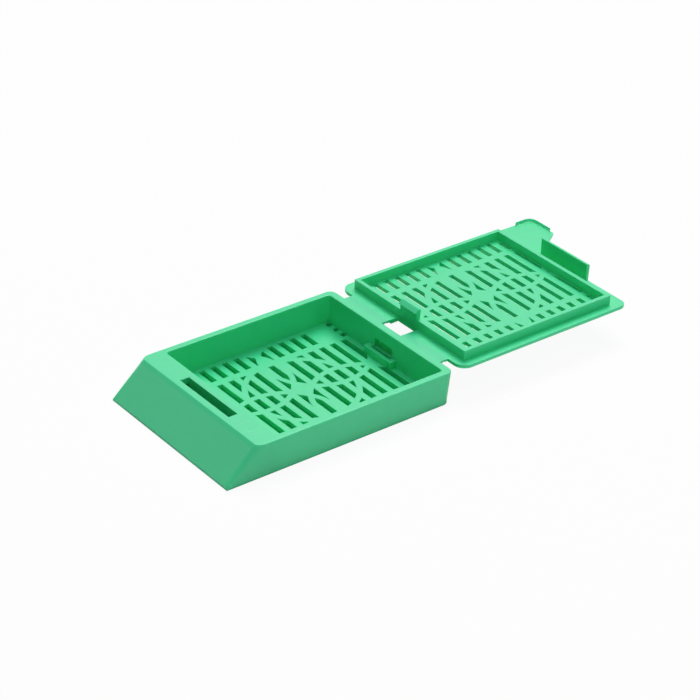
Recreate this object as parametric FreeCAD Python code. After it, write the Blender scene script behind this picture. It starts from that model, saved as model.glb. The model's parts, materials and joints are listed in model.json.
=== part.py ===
import FreeCAD, Part

import math
import os

# Tissue cassette: a shallow draining box with a slanted writing face, and a grille lid that is moulded
# with it, open and flat, on two thin straps.  All lengths are in millimetres and angles in degrees.
#
# Frame: +X runs from the writing face towards the lid and +Z is up.  The origin is the hub of the floor
# grille, on the plane that the box stands on.  The lid turns about a line along Y in the straps.

# ---- box ----
BOX_LENGTH = 39.55         # foot, along X
BOX_WIDTH = 28.5           # foot, along Y
BOX_HEIGHT = 5.45
DRAFT = 3.0                # lean of every outer and inner wall, for release from the mould
SIDE_WALL = 1.12           # at the rim, as the next two are
REAR_WALL = 1.34
FRONT_WALL = 1.15          # between the well and the hollow under the writing face
FLOOR = 0.88
REAR_CORNER_RADIUS = 1.2
WELL_CORNER_RADIUS = 0.45
WELL_EDGE_ROUND = 0.12     # on the well's upper edge
RIM_ROUND = 0.2            # on the outer edge of the rim

# ---- writing face and deck ----
WRITING_ANGLE = 45.0
FRONT_LAND = 0.4           # upright strip below the writing face
DECK_LENGTH = 3.72
DECK_SHELL = 1.1           # thickness of the deck and of the writing face
CREASE_AT_FOOT = 0.3       # the crease between writing face and side opens up on its way to the deck
CREASE_AT_DECK = 1.1
LATCH_SLOT_WIDTH = 1.5
LATCH_SLOT_LENGTH = 11.9

# ---- grille, the same in floor and lid but for the width of its windows ----
HUB_FROM_FRONT = 23.45     # from the front edge of the foot
COLUMN_PITCH = 2.06
FLOOR_WINDOW_WIDTH = 0.98
LID_WINDOW_WIDTH = 0.83
CROSS_RIB_OFFSET = 8.35    # centre of each cross rib from the middle line
CROSS_RIB_WIDTH = 1.25
CENTRE_RING_RADIUS = 8.38  # middle of the ring's web
SIDE_RING_RADIUS = 8.34
SIDE_RING_X = 7.06
SIDE_RING_Y = 6.45
WEB_WIDTH = 0.92
HUB_RADIUS = 1.3
FLOOR_MARGIN = 0.65        # solid strip between the outermost windows and the well's walls
LID_MARGIN = 0.1           # the same strip inside the lid's rib frame
SMALLEST_WINDOW = 0.15     # square millimetres; smaller scraps of window are left solid
CORNER_PANEL_COLUMNS = 2   # columns left blank in the far rear corner of the floor
NOTCH_SIZE = 0.85          # small square holes between that panel and the rear wall
NOTCH_PITCH = 1.8
NOTCH_MARGIN = 0.2         # between the first hole and the side wall
NOTCH_COUNT = 3

# ---- catch on the rear wall ----
REAR_WINDOW_WIDTH = 4.3
REAR_WINDOW_LOW = 2.0
REAR_WINDOW_HIGH = 3.45
REAR_WINDOW_CHAMFER = 0.15
REAR_WINDOW_SKIN = 0.35    # left between the window and the outside
CATCH_POST = 0.9           # width of the bracket to each side of its pocket
CATCH_HEIGHT = 2.1         # above the foot plane
CATCH_BAR = 0.6
CATCH_POCKET = 0.45        # free gap between the bar and the rear wall
POCKET_SIDE_STEP = 0.15    # of that gap beyond each side of the rear window

# ---- straps ----
STRAP_INNER = 2.25         # from the middle line to each strap's inner edge
STRAP_OUTER = 11.3
STRAP_THICKNESS = 0.4
STRAP_REACH = 0.66         # from the rear wall's upper edge to the fold
FOLD_WEB = 0.25            # thickness left at the fold
FOLD_GROOVE = 0.2          # half width of the groove under the fold
CLOSED_GAP = 0.04          # between the box's rim and the shut lid

# ---- lid ----
LID_SIDE_INSET = 0.035     # of the shut lid's edge from the edge of the rim
LID_THICKNESS = 0.73
LID_SETBACK = 0.8          # from the fold to the plate's hinge edge
LID_HINGE_CORNER = 2.0
LID_END_CORNER = 1.3
LID_EDGE_ROUND = 0.4       # on the plate's outer face
FRAME_GAP = 0.43           # between the rib frame and the well's walls, at the rim
FRAME_HEIGHT = 1.5
FRAME_RIB = 0.68

# ---- tongue, latch and thumb tab ----
TONGUE_SIDE_GAP = 0.2      # to each side of the rear window
TONGUE_FOOT_GAP = 0.29     # between the shut tongue's tip and the level of the catch's top
TONGUE_THICKNESS = 0.75
TONGUE_TIP = 0.55
BARB_DROP = 0.6            # of the shut barb's edge below the window's upper edge
BARB_ENTRY = 0.1           # of the shut barb's edge into that window
BARB_RISE = 0.3
LATCH_SIDE_GAP = 0.7       # to each end of the latch slot
LATCH_HEIGHT = 2.6
LATCH_THICKNESS = 0.5
LATCH_FRONT_GAP = 0.28     # between the shut blade's tip and the slot's front edge
LATCH_OVERHANG = 0.4       # of the blade beyond the plate's end
LATCH_LEAN = 0.12          # of the blade's tip outwards, so that it bears on the slot's front edge
LATCH_LEAD = 0.3           # chamfer on the blade's tip
TAB_LENGTH = 6.0           # beyond the plate's end
TAB_END_WIDTH = 5.5        # of the tab's end, from the plate's far edge
TAB_SLANT = 32.7           # angle of the tab's near edge to X
TAB_CORNER = 1.4           # at the far corner, then at the tip and where the tab leaves the plate
TAB_TIP_CORNER = 0.45
TAB_ROOT_CORNER = 0.3
TAB_LIP_HEIGHT = 0.5
TAB_LIP_TOP = 0.12         # thickness of the lip above its curved foot
TAB_LIP_FOOT = 0.37        # radius of that foot
TAB_LIP_START = 2.7        # from the plate's end to where the lip begins
TAB_LIP_STOP = 0.8         # from the lip's other end to the tip corner

# ---- what follows from those ----
LEAN = math.tan(math.radians(DRAFT))
RIM_GROWTH = BOX_HEIGHT * LEAN
FRONT_X = -HUB_FROM_FRONT
REAR_X = FRONT_X + BOX_LENGTH
REAR_RIM_X = REAR_X + RIM_GROWTH
RIM_HALF_WIDTH = BOX_WIDTH / 2 + RIM_GROWTH
DECK_X = FRONT_X + (BOX_HEIGHT - FRONT_LAND) / math.tan(math.radians(WRITING_ANGLE))
WELL_FRONT_X = DECK_X + DECK_LENGTH
WELL_REAR_X = REAR_RIM_X - REAR_WALL
WELL_HALF_WIDTH = RIM_HALF_WIDTH - SIDE_WALL
WELL_LEAN = (BOX_HEIGHT - FLOOR) * LEAN
SLOT_REAR_X = WELL_FRONT_X - FRONT_WALL
SLOT_FRONT_X = SLOT_REAR_X - LATCH_SLOT_WIDTH
FOLD_X = REAR_RIM_X + STRAP_REACH
FOLD_Z = BOX_HEIGHT + CLOSED_GAP / 2
LID_HUB_X = 2 * FOLD_X     # the hub of the lid's grille lies over the floor's hub when shut
LID_NEAR_X = FOLD_X + LID_SETBACK
LID_HALF_WIDTH = RIM_HALF_WIDTH - LID_SIDE_INSET
SHUT_Z = BOX_HEIGHT + CLOSED_GAP           # underside of the shut lid
TONGUE_HEIGHT = SHUT_Z - CATCH_HEIGHT - TONGUE_FOOT_GAP
BARB_HEIGHT = SHUT_Z - REAR_WINDOW_HIGH + BARB_DROP
BARB_REACH = FRAME_GAP - (BOX_HEIGHT - REAR_WINDOW_HIGH + BARB_DROP) * LEAN + BARB_ENTRY
LATCH_FACE_X = 2 * FOLD_X - SLOT_FRONT_X - LATCH_FRONT_GAP - LATCH_LEAN - LATCH_THICKNESS
LID_END_X = LATCH_FACE_X + LATCH_THICKNESS - LATCH_OVERHANG
FRAME_NEAR_X = 2 * FOLD_X - WELL_REAR_X + FRAME_GAP
FRAME_FAR_X = 2 * FOLD_X - WELL_FRONT_X - FRAME_GAP
FRAME_HALF_WIDTH = WELL_HALF_WIDTH - FRAME_GAP
LATCH_HALF_WIDTH = LATCH_SLOT_LENGTH / 2 - LATCH_SIDE_GAP
TAB_END_X = LID_END_X + TAB_LENGTH
TAB_TIP_Y = LID_HALF_WIDTH - TAB_END_WIDTH
CATCH_HALF_WIDTH = REAR_WINDOW_WIDTH / 2 + POCKET_SIDE_STEP + CATCH_POST
CATCH_FRONT_X = WELL_REAR_X - WELL_LEAN - CATCH_POCKET - CATCH_BAR
PAST = 1.0                 # how far a cutting tool runs past the face that it cuts
CLOSE = 0.01               # tolerance when edges are picked by where they lie


def block(low, high):
    """A plain box between two opposite corners."""
    size = [high[i] - low[i] for i in range(3)]
    return Part.makeBox(*size, FreeCAD.Vector(*low))


def outline(corners, radii, z):
    """A closed flat wire at height z whose corners are rounded by the given radii."""
    count = len(corners)
    points = [FreeCAD.Vector(x, y, z) for x, y in corners]
    edges = []
    ends = []
    for i in range(count):
        here = points[i]
        back = (points[i - 1] - here).normalize()
        ahead = (points[(i + 1) % count] - here).normalize()
        if radii[i] == 0:
            ends.append((here, None, here))
            continue
        half = back.getAngle(ahead) / 2
        run = radii[i] / math.tan(half)
        bisector = (back + ahead).normalize()
        middle = here + bisector * (radii[i] / math.sin(half) - radii[i])
        ends.append((here + back * run, middle, here + ahead * run))
    for i in range(count):
        start, middle, finish = ends[i]
        if middle is not None:
            edges.append(Part.Arc(start, middle, finish).toShape())
        following = ends[(i + 1) % count][0]
        edges.append(Part.LineSegment(finish, following).toShape())
    return Part.Wire(edges)


def rectangle(x_low, x_high, half_width, z, front_radius, rear_radius):
    """A rectangle centred on the middle line, with one radius at each end."""
    corners = [(x_low, -half_width), (x_high, -half_width), (x_high, half_width), (x_low, half_width)]
    return outline(corners, [front_radius, rear_radius, rear_radius, front_radius], z)


def side_profile(points, y_low, y_high):
    """A prism along Y from (x, z) points."""
    corners = [FreeCAD.Vector(x, y_low, z) for x, z in points]
    face = Part.Face(Part.makePolygon(corners + corners[:1]))
    return face.extrude(FreeCAD.Vector(0, y_high - y_low, 0))


def plate(wire, thickness):
    """A flat plate that hangs below a closed wire."""
    return Part.Face(wire).extrude(FreeCAD.Vector(0, 0, -thickness))


# ---- grille ----

def ring(x, y, radius, z_low, z_high):
    """One round web of the grille."""
    height = z_high - z_low
    centre = FreeCAD.Vector(x, y, z_low)
    outer = Part.makeCylinder(radius + WEB_WIDTH / 2, height, centre)
    return outer.cut(Part.makeCylinder(radius - WEB_WIDTH / 2, height, centre))


def middle_lens(hub_x, y_side, z_low, z_high):
    """The pointed space between two side rings, over the hub or under it."""
    discs = []
    for side in (-1, 1):
        centre = FreeCAD.Vector(hub_x + side * SIDE_RING_X, y_side * SIDE_RING_Y, z_low)
        discs.append(Part.makeCylinder(SIDE_RING_RADIUS, z_high - z_low, centre))
    return discs[0].common(discs[1])


def column_centres(x_low, x_high):
    """Centres, from the hub, of the columns of windows that lie between two limits."""
    reach = int(max(abs(x_low), abs(x_high)) / COLUMN_PITCH) + 1
    centres = [(i + 0.5) * COLUMN_PITCH for i in range(-reach, reach)]
    return [centre for centre in centres if x_low < centre < x_high]


def grille_windows(width, hub_x, x_low, x_high, half_width, z_low, z_high, catch_side, blanks):
    """The windows of one grille, each of the given width, as solids to cut away.

    Columns of windows run along Y in three rows between two cross ribs.  A centre ring and four side
    rings cross them as round webs.  The windows stop at x_low, x_high and half_width.  The wedge of
    plate between the rings on the catch side is solid, and so is each box in blanks.
    """
    rib_low = CROSS_RIB_OFFSET - CROSS_RIB_WIDTH / 2
    rib_high = CROSS_RIB_OFFSET + CROSS_RIB_WIDTH / 2
    rows = [(-rib_low, rib_low), (rib_high, half_width), (-half_width, -rib_high)]
    middle = []
    outer = []
    for centre in column_centres(x_low - hub_x, x_high - hub_x):
        low = max(hub_x + centre - width / 2, x_low)
        high = min(hub_x + centre + width / 2, x_high)
        beside_hub = abs(centre) < COLUMN_PITCH
        for y_low, y_high in rows:
            window = block((low, y_low, z_low), (high, y_high, z_high))
            (middle if beside_hub else outer).append(window)

    lenses = [middle_lens(hub_x, side, z_low, z_high) for side in (-1, 1)]
    lenses = lenses[0].fuse(lenses[1])
    beside = Part.makeCompound(middle).cut(lenses)
    half = width / 2
    centre_column = block((hub_x - half, -rib_low, z_low), (hub_x + half, rib_low, z_high)).common(lenses)

    webs = [ring(hub_x, 0, CENTRE_RING_RADIUS, z_low, z_high)]
    for x_side in (-1, 1):
        for y_side in (-1, 1):
            webs.append(ring(hub_x + x_side * SIDE_RING_X, y_side * SIDE_RING_Y,
                             SIDE_RING_RADIUS, z_low, z_high))
    webs.append(Part.makeCylinder(HUB_RADIUS, z_high - z_low, FreeCAD.Vector(hub_x, 0, z_low)))
    tip = math.sqrt(SIDE_RING_RADIUS ** 2 - SIDE_RING_Y ** 2) + SIDE_RING_X
    apron_x = sorted((hub_x + catch_side * tip, hub_x + catch_side * (tip + COLUMN_PITCH)))
    apron_half = SIDE_RING_Y - math.sqrt(SIDE_RING_RADIUS ** 2 - (tip + width - SIDE_RING_X) ** 2)
    webs.append(block((apron_x[0], -apron_half, z_low), (apron_x[1], apron_half, z_high)))
    webs.extend(blanks)

    windows = Part.makeCompound(outer + [beside, centre_column]).cut(webs)
    least = SMALLEST_WINDOW * (z_high - z_low)
    return [solid for solid in windows.Solids if solid.Volume > least]


# ---- box ----

def outer_block():
    """The box as a solid block: leaning sides, writing face at the front, rounded outer edges."""
    ahead = FRONT_X - PAST
    foot = rectangle(ahead, REAR_X, BOX_WIDTH / 2, 0, 0, REAR_CORNER_RADIUS)
    rim = rectangle(ahead, REAR_RIM_X, RIM_HALF_WIDTH, BOX_HEIGHT, 0, REAR_CORNER_RADIUS)
    drafted = Part.makeLoft([foot, rim], True, True)
    behind = REAR_RIM_X + PAST
    reach = RIM_HALF_WIDTH + PAST
    profile = side_profile([(FRONT_X, 0), (FRONT_X, FRONT_LAND), (DECK_X, BOX_HEIGHT),
                            (behind, BOX_HEIGHT), (behind, 0)], -reach, reach)
    body = drafted.common(profile)

    creases = [e for e in body.Edges if is_crease(e)]
    body = body.makeFillet(CREASE_AT_FOOT, CREASE_AT_DECK, creases)
    rim_edges = [e for e in body.Edges if is_rim_edge(e)]
    return body.makeFillet(RIM_ROUND, rim_edges)


def is_crease(edge):
    """True for the two edges between the writing face and the sides."""
    box = edge.BoundBox
    climbs = box.ZMax > BOX_HEIGHT - CLOSE and box.ZMin < FRONT_LAND + CLOSE
    return climbs and box.XMax < DECK_X + CLOSE


def is_rim_edge(edge):
    """True for an edge of the block's top face."""
    return edge.BoundBox.ZMin > BOX_HEIGHT - CLOSE


def is_well_edge(edge):
    """True for an edge of the well's mouth."""
    box = edge.BoundBox
    along = box.XMin > WELL_FRONT_X - CLOSE and box.XMax < WELL_REAR_X + CLOSE
    across = box.YMin > -WELL_HALF_WIDTH - CLOSE and box.YMax < WELL_HALF_WIDTH + CLOSE
    return is_rim_edge(edge) and along and across


def well():
    """The space inside the box, down to the floor."""
    low = rectangle(WELL_FRONT_X + WELL_LEAN, WELL_REAR_X - WELL_LEAN, WELL_HALF_WIDTH - WELL_LEAN,
                    FLOOR, WELL_CORNER_RADIUS, WELL_CORNER_RADIUS)
    high = rectangle(WELL_FRONT_X, WELL_REAR_X, WELL_HALF_WIDTH, BOX_HEIGHT,
                     WELL_CORNER_RADIUS, WELL_CORNER_RADIUS)
    return Part.makeLoft([low, high], True, True)


def front_hollow():
    """The space under the writing face and the deck, open at the foot."""
    slope = math.radians(WRITING_ANGLE)
    set_in = DECK_SHELL / math.sin(slope)
    ceiling = BOX_HEIGHT - DECK_SHELL
    low_x = FRONT_X - (FRONT_LAND + PAST) / math.tan(slope) + set_in
    high_x = FRONT_X + (ceiling - FRONT_LAND) / math.tan(slope) + set_in
    half_width = BOX_WIDTH / 2 - SIDE_WALL
    return side_profile([(low_x, -PAST), (high_x, ceiling), (SLOT_REAR_X, ceiling),
                         (SLOT_REAR_X, -PAST)], -half_width, half_width)


def latch_slot():
    """The slot in the deck that takes the lid's latch."""
    half = LATCH_SLOT_LENGTH / 2
    return block((SLOT_FRONT_X, -half, BOX_HEIGHT - DECK_SHELL - PAST),
                 (SLOT_REAR_X, half, BOX_HEIGHT + PAST))


def floor_windows():
    """The windows of the floor, which is solid in its far rear corner and under the catch."""
    margin = FLOOR_MARGIN + WELL_LEAN
    half_width = WELL_HALF_WIDTH - margin
    x_low = WELL_FRONT_X + margin
    x_high = WELL_REAR_X - margin
    last = column_centres(x_low, x_high)[-1]
    panel_x = last - (CORNER_PANEL_COLUMNS - 0.5) * COLUMN_PITCH
    panel = block((panel_x, CROSS_RIB_OFFSET, -PAST),
                  (REAR_X, half_width + PAST, FLOOR + PAST))
    catch_foot = block((CATCH_FRONT_X, -CATCH_HALF_WIDTH, -PAST), (REAR_X, CATCH_HALF_WIDTH, FLOOR + PAST))
    return grille_windows(FLOOR_WINDOW_WIDTH, 0, x_low, x_high, half_width, -PAST, FLOOR + PAST, 1,
                          [panel, catch_foot])


def corner_notches():
    """Small square holes through the floor along the rear wall, beside the blank panel."""
    rear = WELL_REAR_X - WELL_LEAN
    first = WELL_HALF_WIDTH - WELL_LEAN - NOTCH_MARGIN - NOTCH_SIZE / 2
    notches = []
    for i in range(NOTCH_COUNT):
        centre = first - i * NOTCH_PITCH
        notches.append(block((rear - NOTCH_SIZE, centre - NOTCH_SIZE / 2, -PAST),
                             (rear, centre + NOTCH_SIZE / 2, FLOOR + PAST)))
    return notches


def rear_window():
    """The blind window in the rear wall that the lid's tongue snaps into."""
    half = REAR_WINDOW_WIDTH / 2
    cut = REAR_WINDOW_CHAMFER
    corners = [(-half, REAR_WINDOW_LOW), (half, REAR_WINDOW_LOW), (half, REAR_WINDOW_HIGH - cut),
               (half - cut, REAR_WINDOW_HIGH), (cut - half, REAR_WINDOW_HIGH),
               (-half, REAR_WINDOW_HIGH - cut)]
    start = WELL_REAR_X - WELL_LEAN
    points = [FreeCAD.Vector(start, y, z) for y, z in corners]
    face = Part.Face(Part.makePolygon(points + points[:1]))
    return face.extrude(FreeCAD.Vector(REAR_X - REAR_WINDOW_SKIN - start, 0, 0))


def catch():
    """The low bracket in front of the rear window, which backs the tongue."""
    pocket_half = CATCH_HALF_WIDTH - CATCH_POST
    bracket = block((CATCH_FRONT_X, -CATCH_HALF_WIDTH, FLOOR / 2),
                    (WELL_REAR_X, CATCH_HALF_WIDTH, CATCH_HEIGHT))
    return bracket.cut(block((CATCH_FRONT_X + CATCH_BAR, -pocket_half, FLOOR),
                             (WELL_REAR_X + PAST, pocket_half, CATCH_HEIGHT + PAST)))


def strap(side, wall_x, thick_x):
    """One strap's half between a wall and the fold, thinned to a web at the fold."""
    towards = 1 if wall_x > FOLD_X else -1
    top = BOX_HEIGHT
    points = [(FOLD_X, top), (FOLD_X, top - FOLD_WEB),
              (FOLD_X + towards * FOLD_GROOVE, top - STRAP_THICKNESS),
              (thick_x, top - STRAP_THICKNESS), (thick_x, top)]
    y_low, y_high = sorted((side * STRAP_INNER, side * STRAP_OUTER))
    return side_profile(points, y_low, y_high)


def cassette_base():
    """The box, with its half of each strap."""
    body = outer_block().cut(well())
    body = body.makeFillet(WELL_EDGE_ROUND, [e for e in body.Edges if is_well_edge(e)])
    body = body.cut([front_hollow(), latch_slot()])
    body = body.fuse(catch())
    body = body.cut([rear_window()] + floor_windows() + corner_notches())
    inside_rear_wall = REAR_RIM_X - REAR_WALL / 2
    straps = [strap(side, REAR_RIM_X, inside_rear_wall) for side in (-1, 1)]
    return body.fuse(straps).removeSplitter()


# ---- lid ----

def lid_plate():
    """The flat plate of the lid with its thumb tab, notched between the straps as far as the tongue."""
    half = LID_HALF_WIDTH
    root_y = TAB_TIP_Y - TAB_LENGTH * math.tan(math.radians(TAB_SLANT))
    corners = [(LID_NEAR_X, -half), (LID_END_X, -half), (LID_END_X, root_y), (TAB_END_X, TAB_TIP_Y),
               (TAB_END_X, half), (LID_NEAR_X, half)]
    radii = [LID_HINGE_CORNER, LID_END_CORNER, TAB_ROOT_CORNER, TAB_TIP_CORNER, TAB_CORNER,
             LID_HINGE_CORNER]
    body = plate(outline(corners, radii, BOX_HEIGHT), LID_THICKNESS)
    low_edges = [e for e in body.Edges if e.BoundBox.ZMax < BOX_HEIGHT - LID_THICKNESS + CLOSE]
    body = body.makeFillet(LID_EDGE_ROUND, low_edges)
    notch = block((LID_NEAR_X - PAST, -STRAP_INNER, BOX_HEIGHT - LID_THICKNESS - PAST),
                  (FRAME_NEAR_X, STRAP_INNER, BOX_HEIGHT + PAST))
    return body.cut(notch)


def rib_frame():
    """The upright rib all round the lid's grille, which drops inside the well."""
    high = BOX_HEIGHT + FRAME_HEIGHT
    low = BOX_HEIGHT - LID_THICKNESS / 2
    frame = block((FRAME_NEAR_X, -FRAME_HALF_WIDTH, low), (FRAME_FAR_X, FRAME_HALF_WIDTH, high))
    inner = FRAME_HALF_WIDTH - FRAME_RIB
    return frame.cut(block((FRAME_NEAR_X + FRAME_RIB, -inner, low), (FRAME_FAR_X - FRAME_RIB, inner, high)))


def lid_windows():
    """The windows of the lid, inside its rib frame."""
    margin = FRAME_RIB + LID_MARGIN
    x_low = FRAME_NEAR_X + margin
    x_high = FRAME_FAR_X - margin
    return grille_windows(LID_WINDOW_WIDTH, LID_HUB_X, x_low, x_high, FRAME_HALF_WIDTH - margin,
                          BOX_HEIGHT - LID_THICKNESS - PAST, BOX_HEIGHT + PAST, -1, [])


def tongue():
    """The tongue at the hinge end, whose barb springs into the rear window."""
    half = REAR_WINDOW_WIDTH / 2 - TONGUE_SIDE_GAP
    face = FRAME_NEAR_X
    top = BOX_HEIGHT + TONGUE_HEIGHT
    barb = BOX_HEIGHT + BARB_HEIGHT
    return side_profile([(face, BOX_HEIGHT - LID_THICKNESS), (face, barb - BARB_RISE),
                         (face - BARB_REACH, barb), (face + TONGUE_THICKNESS - TONGUE_TIP, top),
                         (face + TONGUE_THICKNESS, top),
                         (FRAME_NEAR_X + FRAME_RIB, BOX_HEIGHT + FRAME_HEIGHT),
                         (FRAME_NEAR_X + FRAME_RIB, BOX_HEIGHT - LID_THICKNESS)], -half, half)


def latch():
    """The blade at the end of the lid, which leans outwards and drops through the deck's slot."""
    top = BOX_HEIGHT + LATCH_HEIGHT
    outer = LATCH_FACE_X + LATCH_THICKNESS
    return side_profile([(LID_END_X - LATCH_THICKNESS, BOX_HEIGHT - LID_THICKNESS / 2),
                         (LATCH_FACE_X, BOX_HEIGHT), (LATCH_FACE_X + LATCH_LEAN - LATCH_LEAD / 2, top),
                         (outer + LATCH_LEAN - LATCH_LEAD, top), (outer + LATCH_LEAN, top - LATCH_LEAD),
                         (outer, BOX_HEIGHT), (outer, BOX_HEIGHT - LID_THICKNESS / 2)],
                        -LATCH_HALF_WIDTH, LATCH_HALF_WIDTH)


def tab_lip():
    """The low lip round the thumb tab's far corner, thin above a curved foot."""
    far = LID_HALF_WIDTH
    top = BOX_HEIGHT + TAB_LIP_HEIGHT
    start = LID_END_X + TAB_LIP_START
    stop = TAB_TIP_Y + TAB_LIP_STOP
    walls = []
    for inset in (0, TAB_LIP_TOP):
        corners = [(start - PAST, stop - PAST), (TAB_END_X - inset, stop - PAST),
                   (TAB_END_X - inset, far - inset), (start - PAST, far - inset)]
        walls.append(outline(corners, [0, 0, TAB_CORNER - inset, 0], top))
    lip = plate(walls[0], TAB_LIP_HEIGHT + LID_THICKNESS / 2).cut(plate(walls[1], TAB_LIP_HEIGHT))
    lip = lip.makeFillet(TAB_LIP_FOOT, [e for e in lip.Edges if is_lip_foot(e)])
    keep = block((start, stop, BOX_HEIGHT - LID_THICKNESS / 4), (TAB_END_X + PAST, far + PAST, top + PAST))
    return lip.common(keep)


def is_lip_foot(edge):
    """True for an edge where the lip's inner face meets the plate."""
    box = edge.BoundBox
    level = box.ZMin > BOX_HEIGHT - CLOSE and box.ZMax < BOX_HEIGHT + CLOSE
    far = box.YMin > LID_HALF_WIDTH - TAB_CORNER - CLOSE
    return level and (far or box.XMin > TAB_END_X - TAB_CORNER - CLOSE)


def cassette_lid():
    """The lid, with its half of each strap."""
    body = lid_plate().fuse([rib_frame(), latch(), tab_lip()])
    body = body.cut(lid_windows())
    body = body.fuse(tongue())
    inside_plate = LID_NEAR_X + LID_HINGE_CORNER
    straps = [strap(side, LID_NEAR_X, inside_plate) for side in (-1, 1)]
    return body.fuse(straps).removeSplitter()


def main():
    os.makedirs("parts", exist_ok=True)
    for name, make in (("cassette_base", cassette_base), ("cassette_lid", cassette_lid)):
        shape = make()
        if len(shape.Solids) != 1 or not shape.isValid():
            raise RuntimeError(f"{name}: {len(shape.Solids)} solids, valid {shape.isValid()}")
        shape.Solids[0].exportStep(f"parts/{name}.step")
        box = shape.BoundBox
        print(name, round(shape.Volume, 2), "mm3,", len(shape.Faces), "faces, x", round(box.XMin, 3),
              round(box.XMax, 3), "y", round(box.YMin, 3), round(box.YMax, 3), "z", round(box.ZMin, 3),
              round(box.ZMax, 3))
    print("fold line at x", round(FOLD_X, 4), "z", round(FOLD_Z, 4))


main()
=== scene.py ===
import json
import math

import bmesh
import bpy
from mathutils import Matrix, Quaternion, Vector


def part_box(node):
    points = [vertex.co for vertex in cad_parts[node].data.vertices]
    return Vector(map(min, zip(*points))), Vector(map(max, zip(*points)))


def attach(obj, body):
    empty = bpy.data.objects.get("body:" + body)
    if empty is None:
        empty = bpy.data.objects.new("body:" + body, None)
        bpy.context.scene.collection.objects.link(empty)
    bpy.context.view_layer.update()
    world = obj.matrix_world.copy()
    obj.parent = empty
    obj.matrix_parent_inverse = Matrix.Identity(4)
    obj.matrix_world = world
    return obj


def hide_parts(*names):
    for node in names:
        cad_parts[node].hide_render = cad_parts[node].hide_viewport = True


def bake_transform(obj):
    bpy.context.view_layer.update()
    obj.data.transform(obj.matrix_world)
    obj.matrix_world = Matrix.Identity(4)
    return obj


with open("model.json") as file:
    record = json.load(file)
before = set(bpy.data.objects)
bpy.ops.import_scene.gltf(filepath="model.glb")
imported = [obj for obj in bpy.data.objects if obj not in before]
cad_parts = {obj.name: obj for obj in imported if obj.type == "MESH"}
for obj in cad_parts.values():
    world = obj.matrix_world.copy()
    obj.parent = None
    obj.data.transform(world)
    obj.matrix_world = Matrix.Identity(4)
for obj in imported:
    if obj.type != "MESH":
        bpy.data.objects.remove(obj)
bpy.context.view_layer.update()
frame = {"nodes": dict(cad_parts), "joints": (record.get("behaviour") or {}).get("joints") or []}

# Looks of a tissue cassette: one green moulding whose lid lies open on two thin straps.  Small sizes are
# written in millimetres, times MM; everything in the scene is in metres.
MM = 0.001
scene = bpy.context.scene

BASE_LOW, BASE_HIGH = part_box("cassette_base")
LID_LOW, LID_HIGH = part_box("cassette_lid")
FOLD = Vector(frame["joints"][0]["pos_m"])
RIM_Z = BASE_HIGH.z        # top of the box, the deck and the straps

# ---- mouldings ----
EDGE_ROUND = 0.05 * MM     # mould edge on every crisp corner
EDGE_STEPS = 2
CRISP_ANGLE = 40           # degrees; corners that turn less than this are already round
CRISP_LENGTH = 0.1 * MM    # shorter edges are steps along a curve and stay as they are
SHARP_ANGLE = 50           # degrees; an edge left this crisp is shaded as one
WEB_SHARP_ANGLE = 15       # degrees; the same on the narrow slices of the webs
EQUAL_AREA = 0.01 * MM ** 2   # faces whose areas differ by less count the same in shading
WELD = 0.0002 * MM
FLAT_ANGLE = 0.3           # degrees; facets that turn less than this are one flat
WEB_REACH = 0.2 * MM       # from the fold to where each strap has its full thickness
WEB_STEPS = 12             # slices of the web, which bends when the lid shuts


def rounded_copy(node):
    """The mesh of one CAD node with its crisp corners rounded."""
    shape = bmesh.new()
    shape.from_mesh(frame["nodes"][node].data)
    bmesh.ops.remove_doubles(shape, verts=shape.verts, dist=WELD)
    bmesh.ops.dissolve_limit(shape, angle_limit=math.radians(FLAT_ANGLE), use_dissolve_boundaries=False,
                             verts=shape.verts, edges=shape.edges, delimit=set())
    crisp = [edge for edge in shape.edges if is_crisp(edge)]
    bmesh.ops.bevel(shape, geom=crisp, offset=EDGE_ROUND, offset_type="OFFSET", segments=EDGE_STEPS,
                    profile=0.5, affect="EDGES", clamp_overlap=False, loop_slide=False, material=-1)
    for vert in shape.verts:      # the round under the slanted writing face would sink into the table
        vert.co.z = max(vert.co.z, BASE_LOW.z)
    return shape


def is_crisp(edge):
    """True for a sharp outer corner, apart from the cut through the straps at the fold."""
    if not edge.is_manifold or not edge.is_convex or edge.calc_length() < CRISP_LENGTH:
        return False
    if edge.calc_face_angle() < math.radians(CRISP_ANGLE):
        return False
    return any(abs(vert.co.x - FOLD.x) > EDGE_ROUND for vert in edge.verts)


def cut_off(shape, x, keep):
    """Cuts a shape at one x and keeps what lies beyond, towards +x where keep is 1 and -x where it is -1."""
    bmesh.ops.bisect_plane(shape, geom=shape.verts[:] + shape.edges[:] + shape.faces[:], dist=WELD,
                           plane_co=(x, 0, 0), plane_no=(keep, 0, 0), clear_inner=True)
    bmesh.ops.holes_fill(shape, edges=[edge for edge in shape.edges if edge.is_boundary], sides=0)


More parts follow.
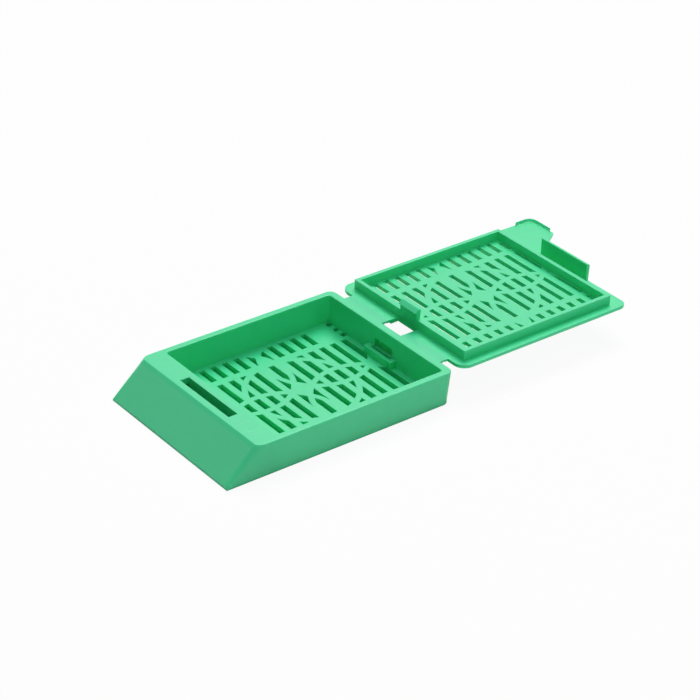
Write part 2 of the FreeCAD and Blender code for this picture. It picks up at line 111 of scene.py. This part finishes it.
def strap_webs(base, lid):
    """The thin web of both straps, taken out of the base and the lid as one piece cut into narrow slices
    across the fold.
    """
    webs = bmesh.new()
    for shape, side in ((base, -1), (lid, 1)):
        half = shape.copy()
        cut_off(half, FOLD.x + side * WEB_REACH, -side)
        ends = [face for face in half.faces if all(abs(v.co.x - FOLD.x) < WELD for v in face.verts)]
        bmesh.ops.delete(half, geom=ends, context="FACES_ONLY")
        taken = bpy.data.meshes.new("web_half")
        half.to_mesh(taken)
        half.free()
        webs.from_mesh(taken)
        bpy.data.meshes.remove(taken)
        cut_off(shape, FOLD.x + side * WEB_REACH, side)
    bmesh.ops.remove_doubles(webs, verts=webs.verts, dist=2 * WELD)
    for step in range(1, WEB_STEPS):
        x = FOLD.x + (2 * step / WEB_STEPS - 1) * WEB_REACH
        bmesh.ops.bisect_plane(webs, geom=webs.verts[:] + webs.edges[:] + webs.faces[:], dist=WELD,
                               plane_co=(x, 0, 0), plane_no=(1, 0, 0))
    return webs


def finished(shape, name, plastic, sharp_angle):
    """A piece of the moulding, flat where it is flat and smooth over its rounded corners."""
    for face in shape.faces:
        face.smooth = True
    for edge in shape.edges:
        edge.smooth = not edge.is_manifold or edge.calc_face_angle() < math.radians(sharp_angle)
    mesh = bpy.data.meshes.new(name)
    shape.to_mesh(mesh)
    shape.free()
    mesh.materials.append(plastic)
    piece = bpy.data.objects.new(name, mesh)
    flats = piece.modifiers.new("flat_faces", "WEIGHTED_NORMAL")
    flats.keep_sharp = True
    flats.weight = 100
    flats.thresh = EQUAL_AREA
    scene.collection.objects.link(piece)
    return piece


# ---- shading nodes ----
class Graph:
    """The nodes of one material or world, with a short way to add each kind of step."""

    def __init__(self, owner):
        owner.use_nodes = True
        self.nodes = owner.node_tree.nodes
        self.links = owner.node_tree.links

    def feed(self, socket, value):
        """Links another node's output to a socket, or sets the socket to a plain value."""
        if isinstance(value, bpy.types.NodeSocket):
            self.links.new(value, socket)
        else:
            socket.default_value = value

    def maths(self, operation, *values):
        """One sum, product or other step of maths."""
        step = self.nodes.new("ShaderNodeMath")
        step.operation = operation
        for socket, value in zip(step.inputs, values):
            self.feed(socket, value)
        return step.outputs[0]

    def product(self, *values):
        """Several values multiplied together."""
        result = values[0]
        for value in values[1:]:
            result = self.maths("MULTIPLY", result, value)
        return result

    def from_middle(self, value, middle):
        """How far a value is from a middle, whichever way."""
        return self.maths("ABSOLUTE", self.maths("SUBTRACT", value, middle))

    def climb(self, value, low, high, bottom=0.0, top=1.0):
        """A value that goes smoothly from bottom to top while another goes from low to high."""
        ramp = self.nodes.new("ShaderNodeMapRange")
        ramp.interpolation_type = "SMOOTHSTEP"
        for name, amount in (("Value", value), ("From Min", low), ("From Max", high),
                             ("To Min", bottom), ("To Max", top)):
            self.feed(ramp.inputs[name], amount)
        return ramp.outputs["Result"]

    def speckle(self, place, size, detail):
        """Noise from 0 to 1 with features of the given size."""
        noise = self.nodes.new("ShaderNodeTexNoise")
        for name, value in (("Vector", place), ("Scale", 1 / size), ("Detail", detail)):
            self.feed(noise.inputs[name], value)
        return noise.outputs["Fac"]

    def split(self, vector):
        """The x, y and z of a vector."""
        parts = self.nodes.new("ShaderNodeSeparateXYZ")
        self.feed(parts.inputs[0], vector)
        return tuple(parts.outputs)

    def tint(self, factor, first, second):
        """The first colour where the factor is 0, and the second where it is 1."""
        mix = self.nodes.new("ShaderNodeMix")
        mix.data_type = "RGBA"
        for number, value in zip(MIX_COLOUR_INPUTS, (factor, first, second)):
            self.feed(mix.inputs[number], value)
        return mix.outputs[MIX_COLOUR_OUTPUT]

    def shader_mix(self, factor, first, second):
        """The first shader where the factor is 0, and the second where it is 1."""
        mix = self.nodes.new("ShaderNodeMixShader")
        for socket, value in zip(mix.inputs, (factor, first, second)):
            self.feed(socket, value)
        return mix.outputs[0]

    def rays(self):
        """1 for what is seen straight, and then 1 for what is seen in a gloss or through something clear."""
        path = self.nodes.new("ShaderNodeLightPath")
        mirrored = self.maths("MAXIMUM", path.outputs["Is Glossy Ray"], path.outputs["Is Transmission Ray"])
        return path.outputs["Is Camera Ray"], mirrored


MIX_COLOUR_INPUTS = (0, 6, 7)   # a Mix node has sockets of each kind: these are its factor and its colours
MIX_COLOUR_OUTPUT = 2

# ---- plastic ----
PALE_GREEN = (0.055, 0.76, 0.355, 1.0)
DEEP_GREEN = (0.045, 0.72, 0.325, 1.0)
FROSTED_GREEN = (0.09, 0.745, 0.36, 1.0)   # the same plastic where fine texture scatters the light
CLOUD_SIZE = 1.8 * MM
SPECULAR_LEVEL = 0.5
REFRACTION = 1.48
BLEED_SHARE = 0.3          # light that goes into the plastic and comes out beside where it went in
BLEED_RADIUS = (0.35, 1.4, 0.8)
BLEED_SCALE = 1.0 * MM
SATIN = 0.33               # roughness of the polished mould faces
WRITING_MATT = 0.5         # roughness of the slanted writing face
WRITING_TILT = 45          # degrees
WRITING_FACING = (0.97, 0.99)   # how squarely a face looks the writing face's way, from not at all to fully
WRITING_BORDER = 0.5 * MM  # smooth border left round the matt field
WRITING_FOOT = 0.3 * MM    # the same above the table
WRITING_FADE = 0.1 * MM    # half width of the border's edge
PEEL_SIZE = 1.3 * MM       # slight waviness of the faces
PEEL_DEPTH = 0.004         # in millimetres, as are the other depths
GRAIN_SIZE = 0.28 * MM
GRAIN_DEPTH = 0.0015
WRITING_GRAIN_DEPTH = 0.011
RING_DEPTH = 0.009         # witness rings that the mould's ejector pins leave
RING_LINE = 0.16 * MM      # half width of a ring's line
RING_LEVEL = 0.1 * MM      # below the top face, where the rings stop
RING_FACING = (0.9, 0.95)  # how squarely a face looks up, from where there is no ring to where there is one
STRAP_RINGS = (17.7, 5.55, (1.2, 1.9), (16.45, 18.9))     # x, y either side, radii, span in x
DECK_RINGS = (-16.4, 9.4, (1.3,), (-18.2, -14.8))


def ejector_rings(graph, where, upwards, rings):
    """Height of the thin rings round two ejector marks, one each side of the middle line."""
    centre_x, centre_y, radii, (span_low, span_high) = rings
    x, y, z = where
    across = graph.maths("SUBTRACT", graph.maths("ABSOLUTE", y), centre_y * MM)
    along = graph.maths("SUBTRACT", x, centre_x * MM)
    radius = graph.maths("SQRT", graph.maths("ADD", graph.product(along, along),
                                             graph.product(across, across)))
    lines = [graph.climb(graph.from_middle(radius, ring * MM), 0, RING_LINE, 1, 0) for ring in radii]
    height = lines[0] if len(lines) == 1 else graph.maths("MAXIMUM", *lines)
    inside = graph.product(graph.maths("GREATER_THAN", x, span_low * MM),
                           graph.maths("LESS_THAN", x, span_high * MM))
    on_top = graph.maths("GREATER_THAN", z, RIM_Z - RING_LEVEL)
    return graph.product(height, RING_DEPTH, inside, on_top, upwards)


def writing_field(graph, where, facing):
    """1 on the matt field of the writing face and 0 on its border and everywhere else."""
    x, y, z = where
    tilt = math.radians(WRITING_TILT)
    slant = graph.maths("SUBTRACT", graph.product(facing[2], math.cos(tilt)),
                        graph.product(facing[0], math.sin(tilt)))
    field = graph.climb(slant, *WRITING_FACING)
    side_edge = BASE_HIGH.y - 2 * WRITING_BORDER
    head_edge = RIM_Z - WRITING_BORDER
    side = graph.climb(graph.maths("ABSOLUTE", y), side_edge - WRITING_FADE, side_edge + WRITING_FADE, 1, 0)
    foot = graph.climb(z, WRITING_FOOT, WRITING_FOOT + 1.5 * WRITING_FADE)
    head = graph.climb(z, head_edge - WRITING_FADE, head_edge + WRITING_FADE, 1, 0)
    return graph.product(field, side, foot, head)


def moulded_plastic():
    """Satin green moulding compound, slightly cloudy, with a matt writing face and faint pin marks."""
    made = bpy.data.materials.new("moulded_plastic")
    graph = Graph(made)
    shader = graph.nodes["Principled BSDF"]
    shader.inputs["Specular IOR Level"].default_value = SPECULAR_LEVEL
    shader.inputs["IOR"].default_value = REFRACTION
    shader.inputs["Subsurface Weight"].default_value = BLEED_SHARE
    shader.inputs["Subsurface Radius"].default_value = BLEED_RADIUS
    shader.inputs["Subsurface Scale"].default_value = BLEED_SCALE
    texture = graph.nodes.new("ShaderNodeTexCoord")
    place = texture.outputs["Object"]
    where = graph.split(place)
    facing = graph.split(texture.outputs["Normal"])
    matt = writing_field(graph, where, facing)
    cloud = graph.tint(graph.speckle(place, CLOUD_SIZE, 3), DEEP_GREEN, PALE_GREEN)
    graph.feed(shader.inputs["Base Color"], graph.tint(matt, cloud, FROSTED_GREEN))
    graph.feed(shader.inputs["Roughness"], graph.climb(matt, 0, 1, SATIN, WRITING_MATT))
    peel = graph.product(graph.speckle(place, PEEL_SIZE, 1), PEEL_DEPTH)
    grain = graph.product(graph.speckle(place, GRAIN_SIZE, 2),
                          graph.climb(matt, 0, 1, GRAIN_DEPTH, WRITING_GRAIN_DEPTH))
    upwards = graph.climb(facing[2], *RING_FACING)
    rings = graph.maths("ADD", ejector_rings(graph, where, upwards, STRAP_RINGS),
                        ejector_rings(graph, where, upwards, DECK_RINGS))
    relief = graph.nodes.new("ShaderNodeBump")
    relief.inputs["Distance"].default_value = MM
    graph.feed(relief.inputs["Height"], graph.maths("ADD", graph.maths("ADD", peel, grain), rings))
    graph.feed(shader.inputs["Normal"], relief.outputs["Normal"])
    return made


# ---- camera ----
CAMERA_PLACE = Vector((-182.2471, -237.3391, 186.0496)) * MM
CAMERA_AIM = Vector((13.3714, 5.8891, 0.0)) * MM
CAMERA_ROLL = 0.0358       # radians
CAMERA_LENS = 124.55
CAMERA_SENSOR = 36
CAMERA_REACH = (0.01, 10)  # nearest and furthest distance that it sees

camera = bpy.data.cameras.new("camera")
camera.lens = CAMERA_LENS
camera.sensor_width = CAMERA_SENSOR
camera.clip_start, camera.clip_end = CAMERA_REACH
viewer = bpy.data.objects.new("camera", camera)
viewer.rotation_mode = "QUATERNION"
viewer.location = CAMERA_PLACE
viewer.rotation_quaternion = ((CAMERA_AIM - CAMERA_PLACE).to_track_quat("-Z", "Y")
                              @ Quaternion((0, 0, 1), CAMERA_ROLL))
scene.collection.objects.link(viewer)
scene.camera = viewer

# ---- floor, light and background ----
TABLE_HALF = 2.0
TABLE_WHITE = (0.9, 0.9, 0.9, 1)
PAINTED_TABLE_SHADE = (0.01, 0.5, 0.16, 1)   # painted shade and green bounce light: the table's own colour under the box
FLOOR_LIFT = 0.93          # share of plain white in what is seen of the table
FOOT_LEVEL = 0.01 * MM     # what is lower stands on the table
FOOT_EDGE = 1.0 * MM       # from where the painted shade is full to the foot's outline, where there is none
LID_SHADE = 6.0 * MM       # reach of the lid's painted shade on the table beyond its far side, seen in reflections
ROOM_LIGHT = 0.04
ROOM_WHITE = 1.0           # strength of the room where it is seen
LIT_POINT = Vector((0.015, 0, 0))
LAMPS = (   # name, place, width, depth and power
    ("key", (0.60, 0.52, 1.12), 0.6, 0.6, 12.0),
    ("top", (0.0, 0.0, 0.75), 0.8, 0.8, 2.4),
    ("low_fill", (0.05, -0.60, 0.12), 0.5, 0.2, 0.5),
)
scene.view_settings.view_transform = "Standard"


def area_light(name, place, width, depth, power):
    """A soft rectangular lamp that looks at the middle of the cassette."""
    lamp = bpy.data.lights.new(name, "AREA")
    lamp.shape = "RECTANGLE"
    lamp.size = width
    lamp.size_y = depth
    lamp.energy = power
    thing = bpy.data.objects.new(name, lamp)
    thing.location = place
    thing.rotation_mode = "QUATERNION"
    thing.rotation_quaternion = (LIT_POINT - Vector(place)).to_track_quat("-Z", "Y")
    scene.collection.objects.link(thing)


def foot_plan(node):
    """The two corners of what a node covers where it stands on the table."""
    foot = [vert.co for vert in frame["nodes"][node].data.vertices if vert.co.z < FOOT_LEVEL]
    return (Vector((min(at.x for at in foot), min(at.y for at in foot), 0)),
            Vector((max(at.x for at in foot), max(at.y for at in foot), 0)))


def clear_of(graph, place, low, high, start, stop):
    """0 on the table under a plan from low to high, and 1 beyond it; start and stop are from its outline."""
    beyond = [graph.maths("SUBTRACT", graph.from_middle(value, (least + most) / 2), (most - least) / 2)
              for value, least, most in ((place[0], low.x, high.x), (place[1], low.y, high.y))]
    return graph.climb(graph.maths("MAXIMUM", *beyond), start, stop)


def floor_white():
    """White table: lifted towards white where it is seen, with painted green shade as its colour where the
    box stands over it and, in reflections, under the lid.
    """
    made = bpy.data.materials.new("floor_white")
    graph = Graph(made)
    graph.nodes.clear()
    place = graph.split(graph.nodes.new("ShaderNodeTexCoord").outputs["Object"])
    foot_low, foot_high = foot_plan("cassette_base")
    away = clear_of(graph, place, foot_low, foot_high, -FOOT_EDGE, 0)
    by_box = clear_of(graph, place, foot_low, foot_high, 0, 0.5 * FOOT_EDGE)
    by_lid = clear_of(graph, place, LID_LOW + Vector((0, LID_SHADE, 0)), LID_HIGH, 0.2 * LID_SHADE, LID_SHADE)
    open_table = graph.maths("MINIMUM", by_box, by_lid)
    seen, mirrored = graph.rays()
    # Painted shade: the table takes the green shade colour under the box, and under the lid where a
    # reflection sees it.
    lit = graph.maths("MAXIMUM", graph.maths("SUBTRACT", 1, mirrored), open_table)
    paper = graph.nodes.new("ShaderNodeBsdfDiffuse")
    graph.feed(paper.inputs["Color"], graph.tint(graph.maths("MINIMUM", away, lit), PAINTED_TABLE_SHADE, TABLE_WHITE))
    glow = graph.nodes.new("ShaderNodeEmission")
    glow.inputs["Strength"].default_value = 1.0
    lifted = graph.maths("MAXIMUM", graph.product(seen, away), graph.product(mirrored, open_table))
    mix = graph.shader_mix(graph.product(lifted, FLOOR_LIFT), paper.outputs[0], glow.outputs[0])
    graph.feed(graph.nodes.new("ShaderNodeOutputMaterial").inputs["Surface"], mix)
    return made


def white_floor():
    """The table that the cassette stands on."""
    flat = bmesh.new()
    bmesh.ops.create_grid(flat, x_segments=1, y_segments=1, size=TABLE_HALF)
    mesh = bpy.data.meshes.new("floor")
    flat.to_mesh(mesh)
    flat.free()
    mesh.materials.append(floor_white())
    floor = bpy.data.objects.new("floor", mesh)
    scene.collection.objects.link(floor)


def white_room():
    """Faint even light from all round, seen as white."""
    scene.world = bpy.data.worlds.new("room")
    graph = Graph(scene.world)
    graph.nodes.clear()
    walls = []
    for strength in (ROOM_LIGHT, ROOM_WHITE):
        wall = graph.nodes.new("ShaderNodeBackground")
        wall.inputs["Color"].default_value = (1, 1, 1, 1)
        wall.inputs["Strength"].default_value = strength
        walls.append(wall.outputs[0])
    mix = graph.shader_mix(graph.maths("MAXIMUM", *graph.rays()), *walls)
    graph.feed(graph.nodes.new("ShaderNodeOutputWorld").inputs["Surface"], mix)


white_room()
white_floor()
for lamp_row in LAMPS:
    area_light(*lamp_row)

# ---- pieces ----
plastic = moulded_plastic()
base_shape = rounded_copy("cassette_base")
lid_shape = rounded_copy("cassette_lid")
web_shape = strap_webs(base_shape, lid_shape)
for shape, node, body in ((base_shape, "cassette_base", "base"), (lid_shape, "cassette_lid", "lid")):
    piece = finished(shape, node.replace("cassette", "moulded"), plastic, SHARP_ANGLE)
    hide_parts(node)
    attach(piece, body)
webs = finished(web_shape, "strap_webs", plastic, WEB_SHARP_ANGLE)
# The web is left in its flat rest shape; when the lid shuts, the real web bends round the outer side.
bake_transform(webs)
